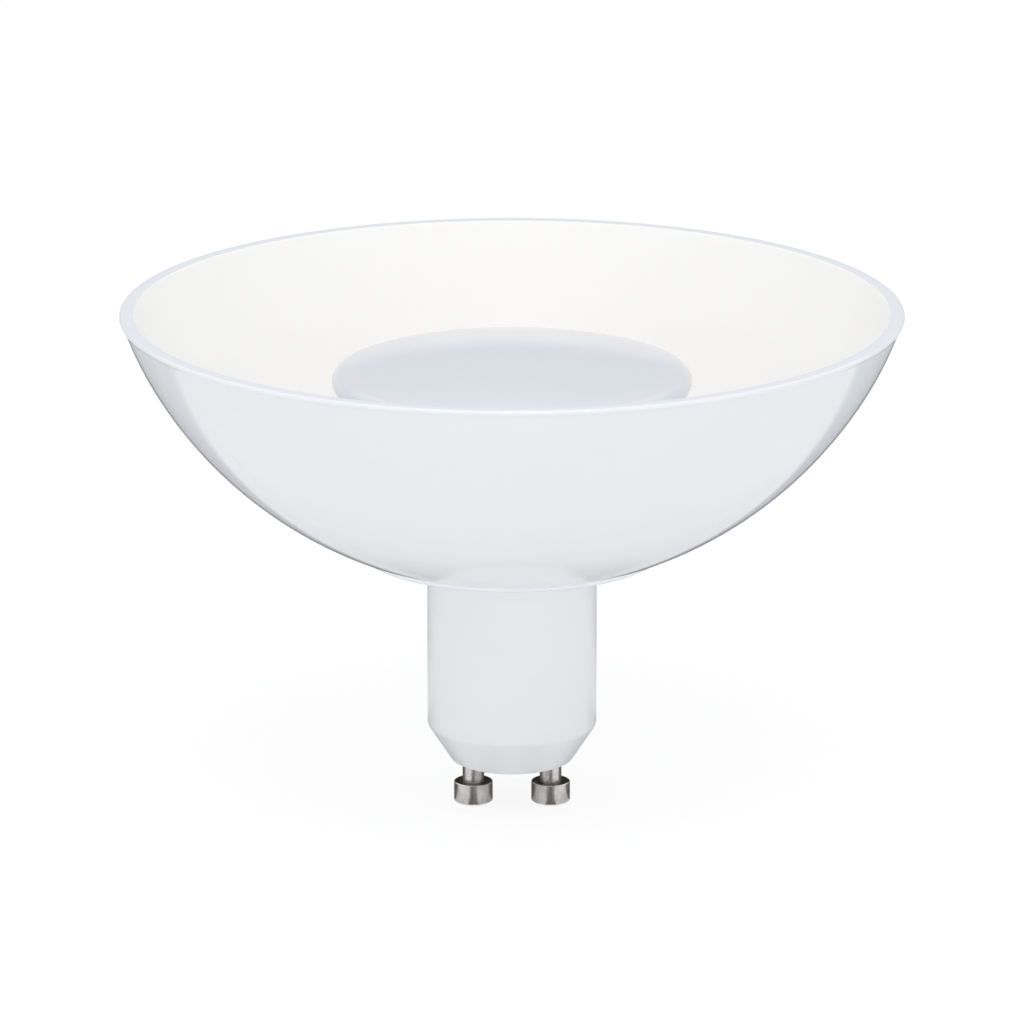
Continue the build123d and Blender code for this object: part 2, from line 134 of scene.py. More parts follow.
class LampSizes(bpy.types.PropertyGroup):
    """Sizes of the turned and moulded pieces."""

    turn_steps: count("Turn steps", "Faces round each turned piece", 240)
    round_steps: count("Round steps", "Faces across a small round", 8)
    bowl_steps: count("Bowl steps", "Faces down the wall of the bowl", 72)
    boss_steps: count("Boss steps", "Faces round a boss", 48)

    rim_radius: length("Rim radius", "Outside radius of the bowl's rim", min(BOWL_HIGH.x, -BOWL_LOW.x))
    rim_top: height("Rim top", "Height of the bowl's rim", BOWL_HIGH.z)
    rim_lean: angle("Rim lean", "Lean of the bowl's wall at the rim", 20.45)
    rim_lip: length("Rim lip", "How far the rounded rim stands out of the wall", 0.00008)
    rim_hollow: length("Rim hollow", "Hollow round between the wall and the rim", 0.0008)
    rim_outer_round: length("Outer rim round", "Round on the rim's outer edge", 0.00035)
    rim_inner_round: length("Inner rim round", "Round on the rim's inner edge", 0.0002)
    bowl_wall: length("Bowl wall", "Thickness of the bowl", 0.0018)
    hub_hole_radius: length("Hub hole", "Radius of the hole in the bowl's hub", 0.00945)

    neck_radius: length("Neck radius", "Outside radius of the neck", 0.0109)
    cap_top: height("Cap top", "Height of the base cap's upper end", CAP_HIGH.z)
    collar_radius: length("Collar radius", "Outside radius of the thin collar under the bowl", CAP_HIGH.x)
    collar_thickness: length("Collar thickness", "Thickness of the collar", 0.0004)
    collar_round: length("Collar round", "Round between the collar and the neck", 0.0008)
    end_radius: length("End radius", "Radius of the neck's end face", 0.007775)
    end_round: length("End round", "Round between the end face and the bevel", 0.0006)
    bevel_height: length("Bevel height", "Height of the neck's bevel", 0.0048)
    bevel_round: length("Bevel round", "Round between the bevel and the neck", 0.0012)
    cap_wall: length("Cap wall", "Thickness of the base cap", 0.0015)
    boss_radius: length("Boss radius", "Radius of the bosses under the pins' rivets", 0.0024)
    boss_height: length("Boss height", "Height of the bosses over the cap's floor", 0.003)

    pin_place: length("Pin place", "Distance of each pin from the lamp's axis", (PIN_LOW.x + PIN_HIGH.x) / 2)
    pin_head_radius: length("Pin head", "Radius of a pin's head", (PIN_HIGH.x - PIN_LOW.x) / 2)
    pin_head_bottom: height("Pin bottom", "Height of the pins' lower end", PIN_LOW.z)
    pin_head_height: length("Pin head height", "Height of a pin's head", 0.0028)
    pin_foot_chamfer: length("Pin foot chamfer", "Chamfer on the lower edge of a pin's head", 0.0003)
    pin_head_chamfer: length("Pin head chamfer", "Chamfer on the upper edge of a pin's head", 0.00009)
    pin_shank_radius: length("Pin shank", "Radius of a pin's shank", 0.0014)
    pin_tail_radius: length("Pin tail", "Radius of a pin inside its boss", 0.0011)
    pin_rivet_radius: length("Pin rivet", "Radius of a pin's riveted end", 0.0019)
    pin_rivet_height: length("Pin rivet height", "Height of a pin's riveted end", 0.0006)
    pin_rivet_top: height("Pin rivet top", "Height of the pins' upper end", PIN_HIGH.z)
    pin_cup_radius: length("Pin cup", "Radius of the cup for the lead", 0.0005)
    pin_cup_depth: length("Pin cup depth", "Depth of the cup for the lead", 0.0012)

    housing_rim_radius: length("Housing rim", "Outside radius of the housing", HOUSING_HIGH.x)
    housing_top: height("Housing top", "Height of the housing's upper edge", HOUSING_HIGH.z)
    housing_rim_height: length("Housing rim height", "Height of the housing's upright rim", 0.00525)
    housing_wall: length("Housing wall", "Thickness of the housing", 0.0014)
    flare_round: length("Flare round", "Round between the flare and the rim", 0.002)
    foot_radius: length("Foot radius", "Radius of the housing's foot on the bowl", 0.0123)
    foot_height: length("Foot height", "Height of the housing's foot", 0.0008)
    tail_radius: length("Tail radius", "Outside radius of the housing's tail", 0.0093)
    tail_wall: length("Tail wall", "Thickness of the housing's tail", 0.0012)
    tail_end: height("Tail end", "Height of the tail's lower end", HOUSING_LOW.z)

    cover_radius: length("Cover radius", "Outside radius of the cover", COVER_HIGH.x)
    cover_top: height("Cover top", "Height of the middle of the cover", COVER_HIGH.z)
    cover_edge_round: length("Cover edge", "Radius of the cover's rounded edge", 0.00135)
    cover_wall: length("Cover wall", "Thickness of the cover", 0.0013)
    skirt_radius: length("Skirt radius", "Outside radius of the cover's skirt", 0.0201)
    skirt_wall: length("Skirt wall", "Thickness of the cover's skirt", 0.0012)
    skirt_end: height("Skirt end", "Height of the skirt's lower edge", COVER_LOW.z)


class LampColours(bpy.types.PropertyGroup):
    """Colours of the finishes."""

    bowl_outside: colour("Bowl outside", "Glossy outside of the bowl", (0.80, 0.806, 0.828))
    bowl_inside: colour("Bowl inside", "Warm white inside of the bowl", (0.94, 0.929, 0.913))
    # Painted shade: the rim's flat top is the bowl's own white plastic, painted a darker bluish grey
    rim_painted_shade: colour("Bowl rim", "Polished rim of the bowl", (0.845, 0.862, 0.908))
    cover_middle: colour("Cover middle", "Middle of the opal cover", (0.71, 0.737, 0.796))
    # Painted reflection: this paler colour stands in for the bright bowl seen near the cover's side
    cover_painted_reflection: colour("Cover edge", "Edge of the opal cover", (0.745, 0.748, 0.79))
    cover_sheen: colour("Cover sheen", "Sheen of the opal cover, seen at a slant", (1.0, 0.84, 0.74))
    neck: colour("Neck", "Satin white of the neck", (0.838, 0.841, 0.862))
    # Painted highlight: the collar is the neck's white plastic, painted paler
    collar: colour("Collar", "Satin white of the collar", (0.90, 0.905, 0.93))
    housing: colour("Housing", "Matt white of the housing", (0.84, 0.84, 0.84))
    nickel: colour("Nickel", "Nickel plating of the pins", (0.88, 0.85, 0.82))
    # Painted shade: the pin heads' upward faces are the same nickel, painted near black
    nickel_top_painted_shade: colour("Nickel shoulder", "Dull plating on a pin head's top", (0.11, 0.105, 0.095))
    # Painted reflection: the tint of the gloss on those painted dark faces
    nickel_top_shade_gloss: colour("Nickel slant", "What the dull plating reflects at a slant", (0.55, 0.54, 0.52))
    aluminium: colour("Aluminium", "Pressed aluminium of the heat sink", (0.72, 0.73, 0.74))
    zinc: colour("Zinc", "Zinc plating of the screws", (0.66, 0.66, 0.66))
    led_board: colour("LED board", "White solder resist of the LED board", (0.84, 0.84, 0.82))
    led_body: colour("LED body", "White frame of an LED", (0.80, 0.79, 0.74))
    phosphor: colour("Phosphor", "Yellow window of an LED", (0.88, 0.66, 0.16))
    driver_board: colour("Driver board", "Green solder resist of the driver board", (0.03, 0.17, 0.07))
    driver_track: colour("Board tracks", "Covered tracks of the driver board", (0.06, 0.27, 0.12))
    resistor: colour("Resistor", "Lacquer of the fuse resistor", (0.21, 0.36, 0.28))
    film: colour("Film capacitor", "Moulded box of the film capacitor", (0.53, 0.37, 0.08))
    ferrite: colour("Ferrite", "Sintered core of the inductor", (0.05, 0.05, 0.055))
    copper: colour("Copper", "Enamelled wire of the inductor", (0.72, 0.33, 0.13))
    sleeve: colour("Sleeve", "Shrink sleeve of the smoothing capacitor", (0.03, 0.045, 0.09))
    package: colour("Package", "Moulded epoxy of the chip and the rectifier", (0.025, 0.025, 0.026))
    lead_white: colour("White lead", "Insulation of the pins' leads", (0.76, 0.76, 0.73))
    lead_red: colour("Red lead", "Insulation of the positive lead", (0.52, 0.03, 0.025))
    lead_black: colour("Black lead", "Insulation of the negative lead", (0.025, 0.025, 0.025))


class LampFinishes(bpy.types.PropertyGroup):
    """Gloss, grain and unevenness of the finishes that show."""

    bowl_roughness: span("Bowl roughness", "Roughness of the bowl's inside and outside", (0.55, 0.03))
    bowl_rim_roughness: share("Bowl rim roughness", "Roughness of the bowl's rim", 0.14)
    bowl_index: amount("Bowl index", "Index of refraction of the bowl", 1.5)
    bowl_clouding: share("Bowl clouding", "Share by which clouds darken the bowl", 0.012)
    bowl_grain: length("Bowl grain", "Height of the grain on the bowl", 0.0000006)
    bowl_blend: length("Bowl blend", "Half of the depth over which its inside turns into its outside", 0.0003)

    cover_roughness: span("Cover roughness", "Least and greatest roughness of the cover", (0.20, 0.23))
    cover_sheen_weight: share("Cover sheen weight", "Strength of the cover's sheen", 0.5)
    cover_sheen_roughness: share("Cover sheen roughness", "Roughness of the cover's sheen", 0.2)
    cover_clouding: share("Cover clouding", "Share by which clouds darken the cover", 0.015)
    cover_grain: length("Cover grain", "Height of the grain on the cover", 0.000002)
    # Where the cover's painted reflection starts, and where it is strongest
    cover_reflection_start: length("Border start", "Distance from the cover's side where it turns pale", 0.0045)
    cover_reflection_end: length("Border end", "Distance from the cover's side where it is palest", 0.0012)

    neck_roughness: span("Neck roughness", "Least and greatest roughness of the neck", (0.30, 0.36))
    neck_clouding: share("Neck clouding", "Share by which clouds darken the neck", 0.025)
    neck_specks: share("Neck specks", "Share by which specks darken the neck", 0.05)
    neck_grain: length("Neck grain", "Height of the grain on the neck", 0.000004)
    # Painted shadow: a soft dark line along the collar's foot
    collar_painted_shadow: share("Collar line", "Share by which a line darkens the foot of the collar", 0.16)
    collar_shadow_width: length("Collar line width", "Height at which that line has faded out", 0.00016)
    collar_shadow_core: length("Collar line core", "Height up to which that line is even", 0.00006)

    nickel_roughness: span("Nickel roughness", "Least and greatest roughness of the pins", (0.22, 0.34))
    nickel_patches: share("Nickel patches", "Share by which dull patches darken the pins", 0.16)
    nickel_streaks: share("Nickel streaks", "Share by which rubbing marks darken the pins", 0.12)
    nickel_rings: length("Nickel rings", "Height of the tool rings on the pins", 0.000006)


class StageSettings(bpy.types.PropertyGroup):
    """Camera, floor and light."""

    camera_distance: length("Camera distance", "Distance from the camera to the lamp's axis", 0.98696)
    camera_elevation: angle("Camera elevation", "Angle at which the camera looks down", 15.961)
    camera_level: height("Camera level", "Height that the camera turns about", 0.030)
    camera_tilt: angle("Camera tilt", "Angle by which the camera aims above that height", 0.1623)
    camera_lens: FloatProperty(
        name="Lens", description="Focal length in millimetres", default=270.28, unit="CAMERA", min=1.0
    )

    floor_size: length("Floor size", "Side of the floor", 8.0)
    floor_gap: length("Floor gap", "Gap that keeps the pins' faces off the floor", 0.00005)
    floor_clear: length("Floor clear", "Distance within which the gloss doesn't see the floor", 0.0005)
    floor_colour: colour("Floor colour", "White paper under the lamp", (0.95, 0.95, 0.95))
    floor_glow: share("Floor glow", "Share of plain white that the camera sees in the floor", 0.8)
    floor_white: amount("Floor white", "Strength of that white", 1.04)
    card_near: length("Card near edge", "Distance behind the axis where the grey card starts to show", 0.0513)
    card_step: share("Card step", "Cover that the grey card gains right at its near edge", 0.3)
    card_sharp: length("Card sharpness", "Depth over which that step comes", 0.0012)
    card_soft: length("Card softness", "Depth over which the grey card gains the rest of its cover", 0.012)
    card_far: length("Card far edge", "Distance behind the axis where the grey card ends", 0.19)
    card_turn: angle("Card turn", "Angle by which the grey card lies askew", -2.9)
    card_width: length("Card width", "Width of the grey card", 1.2)
    card_haze: share("Card haze", "Cover of the grey card in front of its near edge", 0.15)
    card_near_colour: colour("Card near colour", "Near edge of the card in the gloss", (0.272, 0.29, 0.313))
    card_far_colour: colour("Card far colour", "Far edge of the card in the gloss", (0.40, 0.41, 0.43))
    card_fan: angle("Card fan", "Half of the angle of the dark fan on the grey card", 32.0)
    card_fan_core: share("Card fan core", "Share of the dark fan that is even", 0.75)
    card_fan_colour: colour("Card fan colour", "What the gloss sees in the dark fan", (0.10, 0.105, 0.11))
    # The dark patch is a painted shadow of the lamp, which only the gloss sees
    shade_place: length("Shade place", "Distance behind the axis of the dark patch on the floor", 0.022)
    shade_core: length("Shade core", "Radius within which the dark patch is even", 0.017)
    shade_radius: length("Shade radius", "Radius at which the dark patch has faded out", 0.031)
    shade_depth: share("Shade depth", "Cover of the middle of the dark patch", 0.4)
    shade_colour: colour("Shade colour", "What the gloss sees in the dark patch", (0.09, 0.105, 0.11))
    card_lift: length("Card lift", "Height of each card over the one below", 0.0001)
    screen_distance: length("Screen distance", "Distance from the axis to the grey screen behind", 0.8)
    screen_width: length("Screen width", "Width of the grey screen", 2.4)
    screen_height: length("Screen height", "Height of the grey screen", 0.6)
    screen_colour: colour("Screen colour", "What the gloss sees in the screen", (0.50, 0.51, 0.53))
    flag_place: length("Flag place", "Distance behind the axis of the upright flag behind the pins", 0.0115)
    flag_width: length("Flag width", "Width of the flags behind the pins", 0.06)
    flag_height: length("Flag height", "Height of the upright flag", 0.008)
    flag_reach: length("Flag reach", "Length of the flags on the floor", 0.03)
    flag_spread: angle("Flag spread", "Half of the angle of the flags in front of the pins", 18.0)
    flag_range: length("Flag range", "Distance from which the gloss of the pins still sees the flags", 0.03)
    flag_colour: colour("Flag colour", "What the gloss sees in the flags", (0.10, 0.095, 0.09))

    fill_colour: colour("Fill colour", "Colour of the even light from all round", (0.97, 0.985, 1.0))
    fill_strength: amount("Fill strength", "Strength of the even light from all round", 0.84)
    top_height: length("Top light height", "Height of the soft light overhead", 0.9)
    top_forward: length("Top light place", "Distance of the soft light overhead in front of the axis", 0.35)
    top_size: length("Top light size", "Side of the soft light overhead", 0.6)
    top_power: amount("Top light power", "Power of the soft light overhead, in watts", 2.35)
    top_colour: colour("Top light colour", "Colour of the soft light overhead", (1.0, 0.985, 0.96))
    side_distance: length("Side light distance", "Distance of the lights at left and right", 1.1)
    side_angle: angle("Side light angle", "Angle between the camera and each soft light", 50.0)
    side_elevation: angle("Side light elevation", "Height angle of the soft lights", 5.0)
    side_width: length("Side light width", "Width of the soft lights", 0.8)
    side_height: length("Side light height", "Height of the soft lights", 0.24)
    side_power: amount("Side light power", "Power of each soft light, in watts", 0.92)
    side_colour: colour("Side light colour", "Colour of the soft lights", (0.97, 0.985, 1.0))


class Profile:
    """A wire drawn in the XZ plane, which is then turned round an upright axis."""

    def __init__(self, radius, level):
        self.mesh = bmesh.new()
        self.start = bmesh.ops.create_vert(self.mesh, co=(radius, 0.0, level))["vert"][0]
        self.tip = self.start

    def line(self, radius, level):
        """Draw a straight run to a point."""
        self.tip = bmesh.ops.extrude_vert_indiv(self.mesh, verts=[self.tip])["verts"][0]
        self.tip.co = (radius, 0.0, level)

    def arc(self, middle, radius, first, last, steps):
        """Draw a run to an arc's first point, and then the arc. Angles rise from +X towards +Z."""
        begin = Vector((middle[0] + radius * cos(first), 0.0, middle[1] + radius * sin(first)))
        if (self.tip.co - begin).length > radius * 1e-4:
            self.line(begin.x, begin.z)
        spun = bmesh.ops.spin(
            self.mesh,
            geom=[self.tip],
            cent=(middle[0], 0.0, middle[1]),
            axis=(0.0, -1.0, 0.0),
            angle=last - first,
            steps=steps,
        )
        self.tip = next(part for part in spun["geom_last"] if isinstance(part, bmesh.types.BMVert))

    def close(self):
        """Join the last point to the first one."""
        self.mesh.edges.new((self.tip, self.start))

    def turned(self, steps, place=0.0):
        """Turn the wire round an upright axis, and return the closed mesh."""
        bmesh.ops.translate(self.mesh, verts=self.mesh.verts, vec=(place, 0.0, 0.0))
        bmesh.ops.spin(
            self.mesh,
            geom=self.mesh.verts[:] + self.mesh.edges[:],
            cent=(place, 0.0, 0.0),
            axis=(0.0, 0.0, 1.0),
            angle=2 * pi,
            steps=steps,
            use_merge=True,
        )
        bmesh.ops.remove_doubles(self.mesh, verts=self.mesh.verts, dist=1e-7)
        bmesh.ops.recalc_face_normals(self.mesh, faces=self.mesh.faces)
        return self.mesh


def new_object(name, mesh, finish):
    """Put a mesh into the scene, with its finish."""
    data = bpy.data.meshes.new(name)
    mesh.to_mesh(data)
    mesh.free()
    data.materials.append(finish)
    piece = bpy.data.objects.new(name, data)
    bpy.context.scene.collection.objects.link(piece)
    return piece


def finish_piece(name, mesh, finish, slot, *nodes):
    """Make an object of a mesh that stands for CAD nodes: smooth, with its real edges kept crisp."""
    crisp = radians(15)
    for face in mesh.faces:
        face.smooth = True
    for edge in mesh.edges:
        edge.smooth = edge.calc_face_angle(0.0) < crisp
    piece = new_object(name, mesh, finish)
    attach(piece, "root")
    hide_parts(*nodes)
    return piece


def dress(node, finish):
    """Give a CAD node its finish."""
    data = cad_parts[node].data
    data.materials.clear()
    data.materials.append(finish)


def feed(tree, socket, value):
    """Link a value that comes from a node, or set a plain one."""
    if isinstance(value, bpy.types.NodeSocket):
        tree.links.new(value, socket)
    else:
        socket.default_value = value


def put(tree, kind, inputs=None, **settings):
    """Add a node, with its settings and its named inputs."""
    made = tree.nodes.new(kind)
    for name, value in settings.items():
        setattr(made, name, value)
    for name, value in (inputs or {}).items():
        feed(tree, made.inputs[name], value)
    return made


def ramp(tree, value, low, high, start=0.0, end=1.0, smooth=False):
    """Spread a value between two limits over a range."""
    limits = {"Value": value, "From Min": low, "From Max": high, "To Min": start, "To Max": end}
    way = "SMOOTHSTEP" if smooth else "LINEAR"
    return put(tree, "ShaderNodeMapRange", limits, interpolation_type=way).outputs[0]


def vary(tree, mask, first, last):
    """A value that goes from one end to the other with a mask."""
    return ramp(tree, mask, 0.0, 1.0, first, last)


def calculate(tree, operation, first, second=0.0):
    """One sum of two values."""
    return put(tree, "ShaderNodeMath", {0: first, 1: second}, operation=operation).outputs[0]


def both(tree, first, second):
    """A mask of what two masks share."""
    return calculate(tree, "MULTIPLY", first, second)


def opaque(value):
    """A colour property as the four values that a socket takes; anything else as it is."""
    if isinstance(value, bpy.types.NodeSocket) or isinstance(value, float):
        return value
    return (value[0], value[1], value[2], 1.0)


def blend(tree, factor, first, second):
    """Mix two colours."""
    made = put(tree, "ShaderNodeMix", data_type="RGBA")
    for index, value in ((0, factor), (6, first), (7, second)):
        feed(tree, made.inputs[index], opaque(value))
    return made.outputs[2]


def object_place(tree):
    """Where a point lies on its piece."""
    return put(tree, "ShaderNodeTexCoord").outputs["Object"]


def turned_place(tree, turn):
    """Where a point lies, with the axes turned."""
    return put(tree, "ShaderNodeMapping", {"Vector": object_place(tree), "Rotation": turn}).outputs[0]


def upright(tree, vector):
    """The upright part of a place or a direction."""
    return put(tree, "ShaderNodeSeparateXYZ", {0: vector}).outputs["Z"]


def facing_up(tree):
    """How far a face points upwards, from -1 to 1."""
    return upright(tree, put(tree, "ShaderNodeNewGeometry").outputs["Normal"])


def reach_from(tree, centre, flat=False):
    """Distance from a centre, or from the upright line through it."""
    ends = {0: object_place(tree), 1: centre}
    arm = put(tree, "ShaderNodeVectorMath", ends, operation="SUBTRACT").outputs[0]
    if flat:
        ends = {0: arm, 1: (1.0, 1.0, 0.0)}
        arm = put(tree, "ShaderNodeVectorMath", ends, operation="MULTIPLY").outputs[0]
    return put(tree, "ShaderNodeVectorMath", {0: arm}, operation="LENGTH").outputs["Value"]


def noise(tree, place, scale, detail):
    """Soft noise that lies mostly between 0.3 and 0.7."""
    inputs = {"Vector": place, "Scale": scale, "Detail": detail}
    return put(tree, "ShaderNodeTexNoise", inputs).outputs[0]


def squeeze(tree, place, scale):
    """A place with its axes scaled, which draws a pattern out along the small ones."""
    return put(tree, "ShaderNodeMapping", {"Vector": place, "Scale": scale}).outputs[0]


def new_group(name, inputs, outputs):
    """An empty shader node group with named values going in and coming out."""
    tree = bpy.data.node_groups.new(name, "ShaderNodeTree")
    for socket, default in inputs.items():
        made = tree.interface.new_socket(socket, in_out="INPUT", socket_type="NodeSocketFloat")
        made.default_value = default
    for socket in outputs:
        tree.interface.new_socket(socket, in_out="OUTPUT", socket_type="NodeSocketFloat")
    return tree, put(tree, "NodeGroupInput").outputs, put(tree, "NodeGroupOutput").inputs


def moulded_skin():
    """The skin of a moulding: slow clouding, fine grain and a few specks, each from 0 to 1."""
    if "moulded_skin" in bpy.data.node_groups:
        return bpy.data.node_groups["moulded_skin"]
    scales = {"Cloud Scale": 45.0, "Grain Scale": 5000.0}
    tree, given, result = new_group("moulded_skin", scales, ("Cloud", "Grain", "Speck"))
    place = object_place(tree)
    cloud = noise(tree, place, given["Cloud Scale"], 3.0)
    cells = put(tree, "ShaderNodeTexVoronoi", {"Vector": place, "Scale": 420.0}).outputs["Distance"]
    feed(tree, result["Cloud"], ramp(tree, cloud, 0.3, 0.7))
    feed(tree, result["Grain"], noise(tree, place, given["Grain Scale"], 2.0))
    feed(tree, result["Speck"], ramp(tree, cells, 0.05, 0.035))
    return tree


def turned_metal():
    """The skin of a turned or pressed metal: tool rings, streaks and dull patches, each from 0 to 1."""
    if "turned_metal" in bpy.data.node_groups:
        return bpy.data.node_groups["turned_metal"]
    scales = {"Ring Scale": 9000.0, "Patch Scale": 700.0}
    tree, given, result = new_group("turned_metal", scales, ("Ring", "Streak", "Patch"))
    place = object_place(tree)
    ring = noise(tree, squeeze(tree, place, (0.04, 0.04, 1.0)), given["Ring Scale"], 2.0)
    streak = noise(tree, squeeze(tree, place, (1.0, 1.0, 0.12)), 4200.0, 3.0)
    patch = noise(tree, place, given["Patch Scale"], 4.0)
    feed(tree, result["Ring"], ramp(tree, ring, 0.3, 0.7))
    feed(tree, result["Streak"], ramp(tree, streak, 0.3, 0.7))
    feed(tree, result["Patch"], ramp(tree, patch, 0.35, 0.65))
    return tree


def new_finish(name, group, inputs=None):
    """A material with its shader and one of the shared skins in it."""
    finish = bpy.data.materials.new(name)
    finish.use_nodes = True
    tree = finish.node_tree
    skin = put(tree, "ShaderNodeGroup", node_tree=group)
    for socket, value in (inputs or {}).items():
        skin.inputs[socket].default_value = value
    return finish, tree, tree.nodes["Principled BSDF"], skin.outputs


def paint(tree, shader, tint, roughness):
    """Give a shader its colour and its roughness."""
    feed(tree, shader.inputs["Base Color"], tint)
    feed(tree, shader.inputs["Roughness"], roughness)


def raise_grain(tree, shader, grain, depth):
    """Let a fine height move the surface normal."""
    bump = put(tree, "ShaderNodeBump", {"Height": grain, "Distance": depth, "Strength": 1.0})
    feed(tree, shader.inputs["Normal"], bump.outputs[0])


def shade(tree, tint, mask, depth):
    """A colour that a mask darkens by a small share."""
    return blend(tree, calculate(tree, "MULTIPLY", mask, depth), tint, (0.0, 0.0, 0.0))


def plain_moulding(name, tint, roughness, clouding=0.06, grain=0.00001):
    """A moulded finish of one tint, clouded and slightly uneven in its gloss."""
    finish, tree, shader, skin = new_finish(name, moulded_skin())
    gloss = vary(tree, skin["Cloud"], roughness * 0.9, roughness * 1.1)
    paint(tree, shader, shade(tree, opaque(tint), skin["Cloud"], clouding), gloss)
    raise_grain(tree, shader, skin["Grain"], grain)
    return finish


def plain_metal(name, tint, roughness):
    """A metal finish with tool marks and dull patches."""
    finish, tree, shader, skin = new_finish(name, turned_metal())
    shader.inputs["Metallic"].default_value = 1.0
    gloss = vary(tree, skin["Streak"], roughness * 0.8, roughness * 1.25)
    paint(tree, shader, shade(tree, opaque(tint), skin["Patch"], 0.15), gloss)
    raise_grain(tree, shader, skin["Ring"], 0.000004)
    return finish


def bowl_finish(sizes, colours, finishes, middle):
    """Polished white outside, warm white inside, and painted shade that turns the rim's flat top a cooler
    bluish grey.
    """
    scales = {"Cloud Scale": 30.0, "Grain Scale": 2500.0}
    finish, tree, shader, skin = new_finish("bowl_white", moulded_skin(), scales)
    reach = reach_from(tree, (0.0, 0.0, middle))
    wall_middle = bowl_radius(sizes) - sizes.bowl_wall / 2
    outside = ramp(tree, reach, wall_middle - finishes.bowl_blend, wall_middle + finishes.bowl_blend)
    level = upright(tree, object_place(tree))
    rim_foot = sizes.rim_top - 2 * sizes.rim_outer_round
    # Painted shade on the rim's upward-facing flat top, which takes the bluish-grey tint
    top = ramp(tree, level, rim_foot, sizes.rim_top - sizes.rim_outer_round)
    rim = both(tree, top, ramp(tree, facing_up(tree), 0.7, 0.97))
    tint = blend(tree, outside, colours.bowl_inside, colours.bowl_outside)
    tint = blend(tree, rim, tint, colours.rim_painted_shade)
    gloss = vary(tree, outside, *finishes.bowl_roughness)
    gloss = vary(tree, rim, gloss, finishes.bowl_rim_roughness)
    paint(tree, shader, shade(tree, tint, skin["Cloud"], finishes.bowl_clouding), gloss)
    shader.inputs["IOR"].default_value = finishes.bowl_index
    raise_grain(tree, shader, skin["Grain"], finishes.bowl_grain)
    return finish


def cover_finish(sizes, colours, finishes):
    """Satin opal with a warm sheen, and a painted reflection that makes its upward faces paler along the rim
    of its dome.
    """
    scales = {"Cloud Scale": 60.0, "Grain Scale": 5200.0}
    finish, tree, shader, skin = new_finish("opal_plastic", moulded_skin(), scales)
    reach = reach_from(tree, (0.0, 0.0, 0.0), flat=True)
    # Painted reflection: a paler colour on the upward faces near the cover's side
    pale_from = sizes.cover_radius - finishes.cover_reflection_start
    palest_from = sizes.cover_radius - finishes.cover_reflection_end
    border = ramp(tree, reach, pale_from, palest_from, smooth=True)
    edge = both(tree, ramp(tree, facing_up(tree), 0.7, 0.95), border)
    tint = blend(tree, edge, colours.cover_middle, colours.cover_painted_reflection)
    gloss = vary(tree, skin["Cloud"], *finishes.cover_roughness)
    paint(tree, shader, shade(tree, tint, skin["Cloud"], finishes.cover_clouding), gloss)
    shader.inputs["Sheen Weight"].default_value = finishes.cover_sheen_weight
    shader.inputs["Sheen Roughness"].default_value = finishes.cover_sheen_roughness
    shader.inputs["Sheen Tint"].default_value = opaque(colours.cover_sheen)
    raise_grain(tree, shader, skin["Grain"], finishes.cover_grain)
    return finish


def neck_finish(sizes, colours, finishes):
    """Satin white with the fine grain of its mould; a painted highlight makes the collar paler, and a painted
    shadow darkens a soft line along its foot.
    """
    scales = {"Cloud Scale": 90.0, "Grain Scale": 4200.0}
    finish, tree, shader, skin = new_finish("neck_white", moulded_skin(), scales)
    level = upright(tree, object_place(tree))
    reach = reach_from(tree, (0.0, 0.0, 0.0), flat=True)
    # Painted highlight: the collar takes a paler copy of the neck's white
    collar = ramp(tree, reach, sizes.collar_radius - 0.0004, sizes.collar_radius - 0.0002)
    foot = sizes.cap_top - sizes.collar_thickness
    # Painted shadow: a soft dark line just above the collar's foot
    low = ramp(tree, level, foot + finishes.collar_shadow_width, foot + finishes.collar_shadow_core)
    tint = blend(tree, collar, colours.neck, colours.collar)
    tint = shade(tree, tint, skin["Cloud"], finishes.neck_clouding)
    tint = shade(tree, tint, skin["Speck"], finishes.neck_specks)
    tint = shade(tree, tint, both(tree, collar, low), finishes.collar_painted_shadow)
    paint(tree, shader, tint, vary(tree, skin["Cloud"], *finishes.neck_roughness))
    raise_grain(tree, shader, skin["Grain"], finishes.neck_grain)
    return finish


def nickel_finish(sizes, colours, finishes):
    """Nickel plate over turned brass: rings, upright rubbing marks and duller patches, with painted shade and
    painted reflection darkening the upward faces of the pin heads.
    """
    scales = {"Ring Scale": 5200.0, "Patch Scale": 900.0}
    finish, tree, shader, skin = new_finish("nickel", turned_metal(), scales)
    shader.inputs["Metallic"].default_value = 1.0
    level = upright(tree, object_place(tree))
    head = ramp(tree, level, sizes.pin_head_bottom / 3, sizes.pin_head_bottom / 2)
    # Painted shade and painted reflection on the upward faces of the pin heads
    painted_shade_top = both(tree, head, ramp(tree, facing_up(tree), 0.75, 0.95))
    tint = shade(tree, opaque(colours.nickel), skin["Patch"], finishes.nickel_patches)
    tint = shade(tree, tint, skin["Streak"], finishes.nickel_streaks)
    tint = blend(tree, painted_shade_top, tint, colours.nickel_top_painted_shade)
    paint(tree, shader, tint, vary(tree, skin["Streak"], *finishes.nickel_roughness))
    # Painted reflection: the gloss of those faces is tinted darker too
    slant = blend(tree, painted_shade_top, (1.0, 1.0, 1.0), colours.nickel_top_shade_gloss)
    feed(tree, shader.inputs["Specular Tint"], slant)
    raise_grain(tree, shader, skin["Ring"], finishes.nickel_rings)
    return finish


